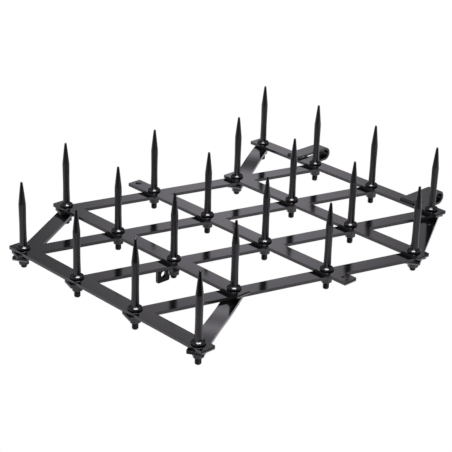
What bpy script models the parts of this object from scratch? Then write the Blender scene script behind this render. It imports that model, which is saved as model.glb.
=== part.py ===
"""Spike-tooth drag harrow, lying on its back with the spikes up, in metres with +Z up.

Five row bars carry four spikes each. Cross bars run under the rows on a slant and corner
braces close the open corners. Every crossing is held by one spike, whose threaded stud
passes down through the stacked bars into a nut. X runs from the first row to the towed
row, Y runs along the rows, and the part's origin is at the middle of its base.
"""

import math

import bmesh
import bpy
from mathutils import Matrix, Vector

# Lattice
SPIKE_PITCH = 0.165
ROW_PITCH = 0.189
STAGGER = 0.055
HOLES_PER_ROW = 4
ROWS = "abcde"

# Flat bar that the whole frame is cut from
BAR_WIDTH = 0.032
BAR_THICKNESS = 0.0064
BAR_EDGE_BREAK = 0.0007
BAR_EDGE_ANGLE = math.radians(60)
ROW_BAR_END = 0.0255
CROSS_BAR_END = 0.019
BRACE_END = 0.020
LONG_END_FIRST = 0.066
LONG_END_LAST = 0.061
LONG_END_HOLE_EDGE = 0.0155
HITCH_HOLE_RADIUS = 0.0065

# Spike, measured up from the top of the row bar
SPIKE_HEIGHT = 0.1367
SPIKE_TAPER = 0.045
SHOULDER_RADIUS = 0.0068
WAIST_RADIUS = 0.0065
ROOT_RADIUS = 0.0073
POINT_RADIUS = 0.0021
POINT_ROUNDING = 0.3
SHOULDER_BLEND = 0.1
COLLAR_RADIUS = 0.0134
COLLAR_HEIGHT = 0.0066
COLLAR_RIM = 0.0016
STUD_RADIUS = 0.0059
STUD_REACH = 0.0397
STUD_CHAMFER = 0.0014

# Nut with its fixed washer
NUT_CORNER_RADIUS = 0.0108
NUT_HEIGHT = 0.0106
NUT_CHAMFER = 0.0013
WASHER_RADIUS = 0.0112
WASHER_THICKNESS = 0.0020

# Tow hook, bent from thinner bar and welded on top of the last row bar
HOOK_THICKNESS = 0.0050
HOOK_WIDTH = 0.032
HOOK_HEIGHT = 0.030
HOOK_REACH = 0.0928
HOOK_LAP = 0.010
HOOK_RETURN = 0.042
HOOK_SETBACK = 0.058

# Angle bracket under one spike of the second row
BRACKET_WIDTH = 0.030
BRACKET_REACH = 0.0345
BRACKET_LAP = 0.016
BRACKET_DROP = 0.0466
BRACKET_BEND_RADIUS = 0.0040
BRACKET_HOLE_EDGE = 0.016

# Clearances and facets
SEAT_GAP = 0.0003
HOLE_CLEARANCE = 0.0005
THREAD_CLEARANCE = 0.0003
CUTTER_OVERSHOOT = 0.002
MERGE_DISTANCE = 0.00001
HOLE_SIDES = 16
SPIKE_SIDES = 12
NUT_SIDES = 6
BEND_STEPS = 12
BRACKET_BEND_STEPS = 5
CLIMB_STEPS = 8
DOME_STEPS = 3
SMOOTH_ANGLE = math.radians(35)

LAYER = BAR_THICKNESS + SEAT_GAP
HOLE_RADIUS = STUD_RADIUS + HOLE_CLEARANCE

# Rows wrap by whole pitches so that the frame stays compact
ROW_WRAP = {"a": 1, "e": -1}

# Each cross bar starts at a node of the lattice and crosses this many rows
CROSS_BARS = {
    "cross_bar_1": [("b", 1), ("c", 1), ("d", 1), ("e", 2)],
    "cross_bar_2": [("a", 1), ("b", 2), ("c", 2), ("d", 2), ("e", 3)],
    "cross_bar_3": [("a", 2), ("b", 3), ("c", 3), ("d", 3), ("e", 4)],
    "cross_bar_4": [("a", 3), ("b", 4), ("c", 4), ("d", 4)],
}
BRACES = {
    "corner_brace_1": [("a", 1), ("b", 1)],
    "corner_brace_2": [("d", 1), ("e", 1)],
    "corner_brace_3": [("a", 4), ("b", 4)],
    "corner_brace_4": [("d", 4), ("e", 4)],
}
LONG_ROW = "c"
BRACKET_NODE = ("b", 3)
HOOK_NODES = {"tow_hook_1": ("e", 2), "tow_hook_2": ("e", 4)}


def clear_scene():
    """Remove every object that the scene starts with."""
    for item in list(bpy.data.objects):
        bpy.data.objects.remove(item, do_unlink=True)


def new_collection(name):
    """Make a collection in the scene and return it."""
    collection = bpy.data.collections.new(name)
    bpy.context.scene.collection.children.link(collection)
    return collection


def paint(name, color, roughness, metallic=0.0):
    """Make a Principled material of one colour."""
    material = bpy.data.materials.new(name)
    material.use_nodes = True
    shader = material.node_tree.nodes["Principled BSDF"]
    shader.inputs["Base Color"].default_value = (*color, 1.0)
    shader.inputs["Roughness"].default_value = roughness
    shader.inputs["Metallic"].default_value = metallic
    return material


def add_object(name, mesh, collection, parent, location=(0, 0, 0), turn=0.0):
    """Place a mesh under its parent, turned about Z."""
    item = bpy.data.objects.new(name, mesh)
    item.parent = parent
    item.location = location
    item.rotation_euler = (0.0, 0.0, turn)
    collection.objects.link(item)
    return item


def node_point(node):
    """Plan position of a lattice node, given as row letter and hole number from 1."""
    row, hole = node
    row_index = ROWS.index(row)
    shift = (row_index - 1) * STAGGER + ROW_WRAP.get(row, 0) * SPIKE_PITCH
    return Vector((row_index * ROW_PITCH, -(shift + (hole - 1) * SPIKE_PITCH), 0.0))


def bars_above(node, kinds):
    """Count the bars of the given kinds that cross at a node, the row bar included."""
    return 1 + sum(node in nodes for bars in kinds for nodes in bars.values())


def strip_mesh(name, path, width):
    """Surface of a flat strip: a path of (x, z) points drawn out along Y."""
    shape = bmesh.new()
    near = [shape.verts.new((x, width / 2, z)) for x, z in path]
    edges = [shape.edges.new(pair) for pair in zip(near, near[1:])]
    drawn = bmesh.ops.extrude_edge_only(shape, edges=edges)["geom"]
    far = [item for item in drawn if isinstance(item, bmesh.types.BMVert)]
    bmesh.ops.translate(shape, verts=far, vec=(0.0, -width, 0.0))
    bmesh.ops.recalc_face_normals(shape, faces=shape.faces)
    shape.normal_update()
    top = max(shape.faces, key=lambda face: face.calc_center_median().z)
    if top.normal.z < 0:
        bmesh.ops.reverse_faces(shape, faces=shape.faces)
    mesh = bpy.data.meshes.new(name)
    shape.to_mesh(mesh)
    shape.free()
    return mesh


def cutter_mesh(name, holes, radius, depth):
    """Round cutters, each given as a centre and the axis that it runs along."""
    shape = bmesh.new()
    for centre, axis in holes:
        turn = Vector((0, 0, 1)).rotation_difference(Vector(axis)).to_matrix().to_4x4()
        bmesh.ops.create_cone(
            shape,
            cap_ends=True,
            segments=HOLE_SIDES,
            radius1=radius,
            radius2=radius,
            depth=depth,
            matrix=Matrix.Translation(centre) @ turn,
        )
    mesh = bpy.data.meshes.new(name)
    shape.to_mesh(mesh)
    shape.free()
    return mesh


class Harrow:
    """Collections, parent and paints that every sub-part is made with."""

    def __init__(self):
        self.parts = new_collection("drag_harrow")
        self.cutters = new_collection("cutters")
        self.origin = bpy.data.objects.new("harrow_origin", None)
        self.parts.objects.link(self.origin)
        self.bar_paint = paint("bar_black", (0.055, 0.053, 0.058), 0.34)
        self.spike_paint = paint("spike_black", (0.040, 0.038, 0.040), 0.38)
        self.nut_paint = paint("nut_black", (0.045, 0.044, 0.046), 0.42)
        self.hook_paint = paint("hook_black", (0.060, 0.058, 0.062), 0.32)

    def bent_bar(self, name, path, material, thickness, width=BAR_WIDTH, location=(0, 0, 0), turn=0.0):
        """Flat bar whose outer face follows a path, with broken edges."""
        bar = add_object(name, strip_mesh(name, path, width), self.parts, self.origin, location, turn)
        bar.data.materials.append(material)
        wall = bar.modifiers.new("thickness", "SOLIDIFY")
        wall.thickness = thickness
        wall.offset = -1.0
        wall.use_even_offset = True
        edge = bar.modifiers.new("edge_break", "BEVEL")
        edge.width = BAR_EDGE_BREAK
        edge.segments = 1
        edge.limit_method = "ANGLE"
        edge.angle_limit = BAR_EDGE_ANGLE
        return bar

    def cut_holes(self, bar, holes, radius, depth):
        """Cut round holes through a bar, given in the bar's own coordinates."""
        name = f"{bar.name}_holes_{len(bar.modifiers)}"
        cutter = add_object(name, cutter_mesh(name, holes, radius, depth), self.cutters, self.origin)
        cutter.location = bar.location
        cutter.rotation_euler = bar.rotation_euler
        cutter.hide_render = True
        cutter.display_type = "WIRE"
        cut = bar.modifiers.new("holes", "BOOLEAN")
        cut.operation = "DIFFERENCE"
        cut.solver = "EXACT"
        cut.object = cutter


def cut_stud_holes(harrow, bar, distances, heights=None):
    """Cut the stud holes of a bar, at distances along it and at the heights of its top face."""
    heights = heights or [0.0] * len(distances)
    middle = -BAR_THICKNESS / 2
    holes = [((x, 0.0, z + middle), (0, 0, 1)) for x, z in zip(distances, heights)]
    harrow.cut_holes(bar, holes, HOLE_RADIUS, BAR_THICKNESS + 2 * CUTTER_OVERSHOOT)


def build_row_bar(harrow, row):
    """One row bar, with its top face at height zero and its first hole at its own origin."""
    first_end = LONG_END_FIRST if row == LONG_ROW else ROW_BAR_END
    last_end = LONG_END_LAST if row == LONG_ROW else ROW_BAR_END
    span = (HOLES_PER_ROW - 1) * SPIKE_PITCH
    bar = harrow.bent_bar(
        f"row_bar_{row}",
        [(-first_end, 0.0), (span + last_end, 0.0)],
        harrow.bar_paint,
        BAR_THICKNESS,
        location=node_point((row, 1)),
        turn=-math.pi / 2,
    )
    cut_stud_holes(harrow, bar, [hole * SPIKE_PITCH for hole in range(HOLES_PER_ROW)])
    if row == LONG_ROW:
        middle = -BAR_THICKNESS / 2
        ends = (-first_end + LONG_END_HOLE_EDGE, span + last_end - LONG_END_HOLE_EDGE)
        holes = [((x, 0.0, middle), (0, 0, 1)) for x in ends]
        harrow.cut_holes(bar, holes, HITCH_HOLE_RADIUS, BAR_THICKNESS + 2 * CUTTER_OVERSHOOT)


def build_cross_bar(harrow, name, nodes):
    """One cross bar, straight under the row bars."""
    start = node_point(nodes[0])
    along = node_point(nodes[-1]) - start
    distances = [(node_point(node) - start).length for node in nodes]
    bar = harrow.bent_bar(
        name,
        [(-CROSS_BAR_END, 0.0), (along.length + CROSS_BAR_END, 0.0)],
        harrow.bar_paint,
        BAR_THICKNESS,
        location=start - Vector((0, 0, LAYER)),
        turn=math.atan2(along.y, along.x),
    )
    cut_stud_holes(harrow, bar, distances)


def climb(rise, start, end):
    """Path points of a gentle S-bend that climbs by a rise from one distance to another."""
    points = []
    for step in range(CLIMB_STEPS + 1):
        share = step / CLIMB_STEPS
        height = rise * (share - math.sin(2 * math.pi * share) / (2 * math.pi))
        points.append((start + (end - start) * share, height))
    return points


def build_brace(harrow, name, nodes):
    """One corner brace under the stacks at its ends, climbing to the thinner stack if they differ."""
    depths = [bars_above(node, (CROSS_BARS,)) for node in nodes]
    if depths[0] < depths[1]:
        nodes = nodes[::-1]
        depths = depths[::-1]
    start = node_point(nodes[0])
    along = node_point(nodes[1]) - start
    rise = (depths[0] - depths[1]) * LAYER
    path = [(-BRACE_END, 0.0)]
    if rise > 0:
        across = abs(along.x) / along.length
        slant = abs(along.y) / along.length
        lap = BAR_WIDTH / 2 * (1 + slant) / across
        path += climb(rise, lap, along.length - lap)
    path.append((along.length + BRACE_END, rise))
    bar = harrow.bent_bar(
        name,
        path,
        harrow.bar_paint,
        BAR_THICKNESS,
        location=start - Vector((0, 0, depths[0] * LAYER)),
        turn=math.atan2(along.y, along.x),
    )
    cut_stud_holes(harrow, bar, [0.0, along.length], [0.0, rise])


def spike_profile():
    """Outline of a spike from its point down to the end of its stud, as (radius, height)."""
    shoulder = SPIKE_HEIGHT - SPIKE_TAPER
    blend = SPIKE_TAPER * SHOULDER_BLEND
    profile = [
        (0.0, SPIKE_HEIGHT),
        (POINT_RADIUS * (1 - POINT_ROUNDING), SPIKE_HEIGHT - POINT_RADIUS * POINT_ROUNDING),
        (POINT_RADIUS, SPIKE_HEIGHT - POINT_RADIUS),
        (SHOULDER_RADIUS - (SHOULDER_RADIUS - POINT_RADIUS) * SHOULDER_BLEND, shoulder + blend),
        (SHOULDER_RADIUS, shoulder - blend),
        (WAIST_RADIUS, shoulder / 2),
        (ROOT_RADIUS, COLLAR_HEIGHT + ROOT_RADIUS / 2),
    ]
    dome_rise = COLLAR_HEIGHT - COLLAR_RIM
    start = math.acos(ROOT_RADIUS / COLLAR_RADIUS)
    for step in range(DOME_STEPS + 1):
        angle = start * (1 - step / DOME_STEPS)
        profile.append((COLLAR_RADIUS * math.cos(angle), COLLAR_RIM + dome_rise * math.sin(angle) / math.sin(start)))
    profile += [
        (COLLAR_RADIUS, SEAT_GAP),
        (STUD_RADIUS, SEAT_GAP),
        (STUD_RADIUS, STUD_CHAMFER - STUD_REACH),
        (STUD_RADIUS - STUD_CHAMFER, -STUD_REACH),
        (0.0, -STUD_REACH),
    ]
    return profile


def turned_mesh(name, profile, sides, smooth=True):
    """Turn a profile of (radius, height) points about Z into one closed mesh."""
    mesh = bpy.data.meshes.new(f"{name}_profile")
    points = [(radius, 0.0, height) for radius, height in profile]
    mesh.from_pydata(points, [(i, i + 1) for i in range(len(points) - 1)], [])
    lathe = bpy.data.objects.new(f"{name}_profile", mesh)
    bpy.context.scene.collection.objects.link(lathe)
    screw = lathe.modifiers.new("turn", "SCREW")
    screw.axis = "Z"
    screw.steps = sides
    screw.render_steps = sides
    screw.use_merge_vertices = True
    screw.merge_threshold = MERGE_DISTANCE
    turned = baked_mesh(lathe, name)
    bpy.data.objects.remove(lathe, do_unlink=True)
    if smooth:
        turned.shade_smooth()
        turned.set_sharp_from_angle(angle=SMOOTH_ANGLE)
    return turned


def baked_mesh(item, name):
    """Mesh of an object as its modifiers leave it."""
    graph = bpy.context.evaluated_depsgraph_get()
    graph.update()
    mesh = bpy.data.meshes.new_from_object(item.evaluated_get(graph))
    mesh.name = name
    return mesh


def nut_mesh():
    """Hexagon nut with its washer face up and its clear bore, its seat at height zero."""
    body_top = -WASHER_THICKNESS
    body_end = body_top - NUT_HEIGHT
    hexagon = [
        (0.0, body_top / 2),
        (NUT_CORNER_RADIUS, body_top / 2),
        (NUT_CORNER_RADIUS, body_end + NUT_CHAMFER),
        (NUT_CORNER_RADIUS - NUT_CHAMFER, body_end),
        (0.0, body_end),
    ]
    washer = [
        (0.0, 0.0),
        (WASHER_RADIUS, 0.0),
        (WASHER_RADIUS, body_top),
        (0.0, body_top),
    ]
    height = WASHER_THICKNESS + NUT_HEIGHT
    bore = cutter_mesh(
        "nut_bore",
        [((0.0, 0.0, -height / 2), (0, 0, 1))],
        STUD_RADIUS + THREAD_CLEARANCE,
        height + 2 * CUTTER_OVERSHOOT,
    )
    scratch = bpy.context.scene.collection
    body = bpy.data.objects.new("nut_body", turned_mesh("nut_body", hexagon, NUT_SIDES, smooth=False))
    tools = (("UNION", turned_mesh("nut_washer", washer, HOLE_SIDES)), ("DIFFERENCE", bore))
    scratch.objects.link(body)
    spare = [body]
    for operation, mesh in tools:
        tool = bpy.data.objects.new(mesh.name, mesh)
        scratch.objects.link(tool)
        spare.append(tool)
        join = body.modifiers.new(operation, "BOOLEAN")
        join.operation = operation
        join.solver = "EXACT"
        join.object = tool
    finished = baked_mesh(body, "nut")
    for item in spare:
        bpy.data.objects.remove(item, do_unlink=True)
    return finished


def build_spikes_and_nuts(harrow):
    """A spike on every node of the lattice and a nut under its stack of bars."""
    spike = turned_mesh("spike", spike_profile(), SPIKE_SIDES)
    spike.materials.append(harrow.spike_paint)
    nut = nut_mesh()
    nut.materials.clear()
    nut.materials.append(harrow.nut_paint)
    for row in ROWS:
        for hole in range(1, HOLES_PER_ROW + 1):
            node = (row, hole)
            place = node_point(node)
            bars = bars_above(node, (CROSS_BARS, BRACES)) + (node == BRACKET_NODE)
            add_object(f"spike_{row}{hole}", spike, harrow.parts, harrow.origin, place)
            seat = place - Vector((0, 0, bars * LAYER))
            add_object(f"nut_{row}{hole}", nut, harrow.parts, harrow.origin, seat)


def bend(centre, radius, first_angle, last_angle, steps):
    """Points of an arc in the path's plane, angles measured from +X towards +Z."""
    points = []
    for step in range(steps + 1):
        angle = first_angle + (last_angle - first_angle) * step / steps
        points.append((centre[0] + radius * math.cos(angle), centre[1] + radius * math.sin(angle)))
    return points


def build_tow_hook(harrow, name, node):
    """J-shaped tow hook: its upper leg laps the towed row bar and its lower leg is free."""
    radius = HOOK_HEIGHT / 2
    centre = (HOOK_REACH - radius, -radius)
    path = [(-HOOK_LAP, 0.0)]
    path += bend(centre, radius, math.pi / 2, -math.pi / 2, BEND_STEPS)
    path.append((centre[0] - HOOK_RETURN, -HOOK_HEIGHT))
    top = Vector((0, HOOK_SETBACK, SEAT_GAP + HOOK_THICKNESS))
    harrow.bent_bar(name, path, harrow.hook_paint, HOOK_THICKNESS, HOOK_WIDTH, node_point(node) + top)


def build_bracket(harrow):
    """Angle bracket held under the stack of one spike, with a hole in its hanging leg."""
    outer = BRACKET_BEND_RADIUS + BAR_THICKNESS
    corner = (BRACKET_REACH - outer, -outer)
    path = [(-BRACKET_LAP, 0.0)]
    path += bend(corner, outer, math.pi / 2, 0.0, BRACKET_BEND_STEPS)
    path.append((BRACKET_REACH, -BRACKET_DROP))
    bars = bars_above(BRACKET_NODE, (CROSS_BARS, BRACES))
    seat = node_point(BRACKET_NODE) - Vector((0, 0, bars * LAYER))
    bracket = harrow.bent_bar(
        "angle_bracket", path, harrow.bar_paint, BAR_THICKNESS, BRACKET_WIDTH, seat, math.pi / 2
    )
    cut_stud_holes(harrow, bracket, [0.0])
    hitch = ((BRACKET_REACH - BAR_THICKNESS / 2, 0.0, BRACKET_HOLE_EDGE - BRACKET_DROP), (1, 0, 0))
    harrow.cut_holes(bracket, [hitch], HITCH_HOLE_RADIUS, BAR_THICKNESS + 2 * CUTTER_OVERSHOOT)


def centre_on_base(harrow):
    """Move the parent so that the part's origin is at the middle of its base."""
    bpy.context.view_layer.update()
    graph = bpy.context.evaluated_depsgraph_get()
    low = Vector((math.inf,) * 3)
    high = Vector((-math.inf,) * 3)
    for item in harrow.parts.objects:
        if item.type != "MESH":
            continue
        shown = item.evaluated_get(graph)
        for vertex in shown.data.vertices:
            point = shown.matrix_world @ vertex.co
            low = Vector(map(min, low, point))
            high = Vector(map(max, high, point))
    harrow.origin.location = (-(low.x + high.x) / 2, -(low.y + high.y) / 2, -low.z)
    bpy.context.view_layer.update()


def main():
    clear_scene()
    harrow = Harrow()
    for row in ROWS:
        build_row_bar(harrow, row)
    for name, nodes in CROSS_BARS.items():
        build_cross_bar(harrow, name, nodes)
    for name, nodes in BRACES.items():
        build_brace(harrow, name, nodes)
    build_spikes_and_nuts(harrow)
    for name, node in HOOK_NODES.items():
        build_tow_hook(harrow, name, node)
    build_bracket(harrow)
    centre_on_base(harrow)


main()
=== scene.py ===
"""Looks for a drag harrow that lies on its back, spikes up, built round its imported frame.

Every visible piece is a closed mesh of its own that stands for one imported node, or a weld
bead that sits between two of them. Sizes are in metres and +Z is up. A bar's own X runs
along it, its own Y across it, and its own Z is zero on its top face.
"""

import logging
import math
from dataclasses import dataclass, field
from enum import Enum
from typing import Callable, Iterable, Sequence

import bmesh
import bpy
from mathutils import Matrix, Vector


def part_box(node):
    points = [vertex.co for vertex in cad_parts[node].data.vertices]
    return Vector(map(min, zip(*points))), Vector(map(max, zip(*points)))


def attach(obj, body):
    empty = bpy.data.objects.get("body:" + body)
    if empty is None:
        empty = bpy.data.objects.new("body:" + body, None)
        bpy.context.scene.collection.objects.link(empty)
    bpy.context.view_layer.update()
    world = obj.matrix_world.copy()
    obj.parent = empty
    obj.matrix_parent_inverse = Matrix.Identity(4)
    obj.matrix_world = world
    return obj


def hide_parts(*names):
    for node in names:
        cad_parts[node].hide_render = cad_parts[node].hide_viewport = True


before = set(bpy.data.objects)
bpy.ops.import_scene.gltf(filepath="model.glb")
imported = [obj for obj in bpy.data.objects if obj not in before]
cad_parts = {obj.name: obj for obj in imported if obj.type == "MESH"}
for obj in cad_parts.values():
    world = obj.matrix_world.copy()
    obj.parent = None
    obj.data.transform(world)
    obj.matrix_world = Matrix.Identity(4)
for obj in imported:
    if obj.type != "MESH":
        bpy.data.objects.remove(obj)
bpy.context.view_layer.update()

LOG = logging.getLogger("drag_harrow")
ROOT_BODY = "root"

SEAT_GAP = 0.0003
BAR_WIDTH = 0.032
BAR_THICKNESS = 0.0064
SPIKE_HEIGHT = 0.1367
SPIKE_TAPER = 0.045
SMOOTH_ANGLE = math.radians(38)

Color = tuple[float, float, float]
Point2 = tuple[float, float]
Span = tuple[float, float]


# Shader building


class Wire:
    """A value that travels between shader nodes, with Python's operators adding Math nodes."""

    def __init__(self, board: "Board", socket: bpy.types.NodeSocket) -> None:
        """Keep the node tree and the socket that the value leaves from."""
        self.board = board
        self.socket = socket

    def maths(self, operation: str, *others: "Wire | float") -> "Wire":
        """Add one Math node that starts with this value.

        Args:
            operation: the Math node's operation.
            others: the node's further values, in order.

        Returns:
            The node's result.
        """
        values = dict(enumerate((self, *others)))
        return self.board.add("ShaderNodeMath", {"operation": operation}, values)

    def __add__(self, other: "Wire | float") -> "Wire":
        """This value plus another."""
        return self.maths("ADD", other)

    def __radd__(self, other: float) -> "Wire":
        """A number plus this value."""
        return self.maths("ADD", other)

    def __sub__(self, other: "Wire | float") -> "Wire":
        """This value less another."""
        return self.maths("SUBTRACT", other)

    def __rsub__(self, other: float) -> "Wire":
        """A number less this value."""
        return self.maths("MULTIPLY_ADD", -1.0, other)

    def __mul__(self, other: "Wire | float") -> "Wire":
        """This value times another."""
        return self.maths("MULTIPLY", other)

    def __rmul__(self, other: float) -> "Wire":
        """A number times this value."""
        return self.maths("MULTIPLY", other)

    def __truediv__(self, other: "Wire | float") -> "Wire":
        """This value divided by another."""
        return self.maths("DIVIDE", other)

    def __rtruediv__(self, other: float) -> "Wire":
        """A number divided by this value."""
        return self.maths("POWER", -1.0) * other

    def __abs__(self) -> "Wire":
        """This value without its sign."""
        return self.maths("ABSOLUTE")

    def at_least(self, other: "Wire | float") -> "Wire":
        """The larger of this value and another."""
        return self.maths("MAXIMUM", other)

    def at_most(self, other: "Wire | float") -> "Wire":
        """The smaller of this value and another."""
        return self.maths("MINIMUM", other)

    def ease(self, start: float, end: float, low: float = 0.0, high: float = 1.0) -> "Wire":
        """Map this value smoothly from one range to another, held at both ends.

        Args:
            start: the value that gives low.
            end: the value that gives high.
            low: the result at start.
            high: the result at end.

        Returns:
            The mapped value.
        """
        settings = {"interpolation_type": "SMOOTHSTEP", "clamp": True}
        values = {"Value": self, "From Min": start, "From Max": end, "To Min": low, "To Max": high}
        return self.board.add("ShaderNodeMapRange", settings, values)


@dataclass(frozen=True)
class Pattern:
    """Cloudy noise over the surface of a piece.

    Attributes:
        size: width of its blots in metres.
        detail: how many finer layers it has.
        rough: how strong the finer layers are.
        stretch: factors on the place along the piece's own axes; under 1 draws the blots out.
    """

    size: float
    detail: float
    rough: float = 0.55
    stretch: Color | None = None


# Sockets of the Mix node that carry colours
MIX_FIRST = 6
MIX_SECOND = 7
MIX_RESULT = 2


class Board:
    """The node tree of one material or world, and the one way of adding a node to it."""

    def __init__(self, tree: bpy.types.NodeTree) -> None:
        """Keep the node tree."""
        self.tree = tree

    def add(
        self,
        kind: str,
        settings: dict[str, object] | None = None,
        values: dict[str | int, object] | None = None,
        output: str | int = 0,
    ) -> Wire:
        """Add a node, set it up, then fill or link its inputs.

        Args:
            kind: the node's type.
            settings: properties of the node, set before its inputs.
            values: inputs by name or number, each a Wire, a number or a tuple.
            output: the output that is wanted.

        Returns:
            The wanted output.
        """
        node = self.tree.nodes.new(kind)
        for name, value in (settings or {}).items():
            setattr(node, name, value)
        for name, value in (values or {}).items():
            if isinstance(value, Wire):
                self.tree.links.new(value.socket, node.inputs[name])
            else:
                node.inputs[name].default_value = value
        return Wire(self, node.outputs[output])

    def mix(self, share: Wire, first: "Color | Wire", second: "Color | Wire") -> Wire:
        """Blend two colours.

        Args:
            share: how much of the second colour shows.
            first: the colour at share 0.
            second: the colour at share 1.

        Returns:
            The blended colour.
        """
        values = {"Factor": share, MIX_FIRST: as_color(first), MIX_SECOND: as_color(second)}
        return self.add("ShaderNodeMix", {"data_type": "RGBA"}, values, output=MIX_RESULT)

    def noise(self, place: Wire, pattern: Pattern, seed: Wire) -> Wire:
        """Cloudy noise from 0 to 1.

        Args:
            place: position on the piece.
            pattern: size and make-up of the noise.
            seed: shifts the noise so that copies differ.

        Returns:
            The noise's value.
        """
        if pattern.stretch:
            factors = {0: place, 1: pattern.stretch}
            place = self.add("ShaderNodeVectorMath", {"operation": "MULTIPLY"}, factors)
        values = {
            "Vector": place,
            "W": seed,
            "Scale": 1.0 / pattern.size,
            "Detail": pattern.detail,
            "Roughness": pattern.rough,
        }
        return self.add("ShaderNodeTexNoise", {"noise_dimensions": "4D"}, values)

    def scaled(self, value: "Color | Wire", factor: Wire) -> Wire:
        """A colour or a vector times a number."""
        return self.add("ShaderNodeVectorMath", {"operation": "SCALE"}, {0: value, "Scale": factor})

    def split(self, place: Wire, axis: str) -> Wire:
        """One coordinate of a position."""
        return self.add("ShaderNodeSeparateXYZ", None, {"Vector": place}, output=axis)


def as_color(value: "Color | Wire") -> "tuple[float, float, float, float] | Wire":
    """A colour as a socket takes it, with its fourth value."""
    return value if isinstance(value, Wire) else (*value, 1.0)


# Finishes


class Grain(Enum):
    """How the steel under the paint was made, which shows through as relief."""

    ROLLED = "rolled"
    FORGED = "forged"
    WELDED = "welded"


class Shape(Enum):
    """Whether a piece is flat or round, since each kind is lit by a light of its own."""

    FLAT = "flat_pieces"
    ROUND = "round_pieces"

    def group(self) -> bpy.types.Collection:
        """The collection of all pieces of this kind."""
        return bpy.data.collections.get(self.value) or bpy.data.collections.new(self.value)


class Sides(Enum):
    """Which faces of a bar are cut ones, told from the bar's own axes; these get a painted sheen,
    and the ends a painted reflection and highlight.
    """

    NONE = "none"
    LONG = "long sides"
    ALL = "long sides and ends"


# Paler and darker clouds in the film
CLOUDS = Pattern(0.045, 4.0)
CLOUD_SPAN = (0.35, 0.75)
CLOUD_GAIN = 1.7

# Smears that make the gloss uneven, and the limits of the gloss
SMEARS = Pattern(0.012, 5.0, 0.65, (0.25, 1.0, 1.0))
SMEAR_MIDDLE = 0.5
SMEAR_DULLING = 0.06
GLOSSIEST = 0.06
DULLEST = 0.8

# Dust: its fine specks, how level a face has to lie to hold it, and where it drifts
SPECKS = Pattern(0.0011, 2.0)
SPECK_SPAN = (0.68, 0.76)
SPECK_SHARE = 1.5
LEVEL_SPAN = (0.55, 0.95)
DRIFT_SPAN = (0.3, 0.8)
DRIFT_SHARE = 0.6
DUST_DULLING = 0.8

# Forging scale on a spike's shaft, from above its collar to its shoulder
SCALE_FOOT_SPAN = (0.010, 0.016)
SCALE_TOP = SPIKE_HEIGHT - SPIKE_TAPER
SCALE_TOP_BLEND = 0.0005

# Cut faces of a bar, told from how squarely they face along its axes: painted sheen on the sides,
# painted reflection and painted highlight on the sheared ends
PATCHES = Pattern(0.006, 4.0, 0.7)
PATCH_SPAN = (0.2, 0.6)
PATCH_LEAST = 0.6
SIDE_SHEEN_SPAN = (0.7, 1.0)
END_SPAN = (0.8, 0.95)
RIM_HIGHLIGHT_SPAN = (0.12, 0.40)
END_REFLECTION_BLEND = 0.0005

# Relief: the film's own orange peel, and the steel's surface under it
PEEL = Pattern(0.0016, 1.0)
PEEL_DEPTH = 0.000002
DRAWN_OUT = (0.18, 1.0, 1.0)
STEEL = {
    Grain.ROLLED: Pattern(0.014, 3.0, 0.5, DRAWN_OUT),
    Grain.FORGED: Pattern(0.009, 1.5, 0.45, (1.0, 1.0, 0.35)),
    Grain.WELDED: Pattern(0.0022, 3.0, 0.7),
}
ROLL_LINES = Pattern(0.0035, 2.0, stretch=DRAWN_OUT)
ROLL_LINE_SHARE = 0.35

# Spread of the number that tells copies apart
SEED_SPREAD = 20.0


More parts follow.
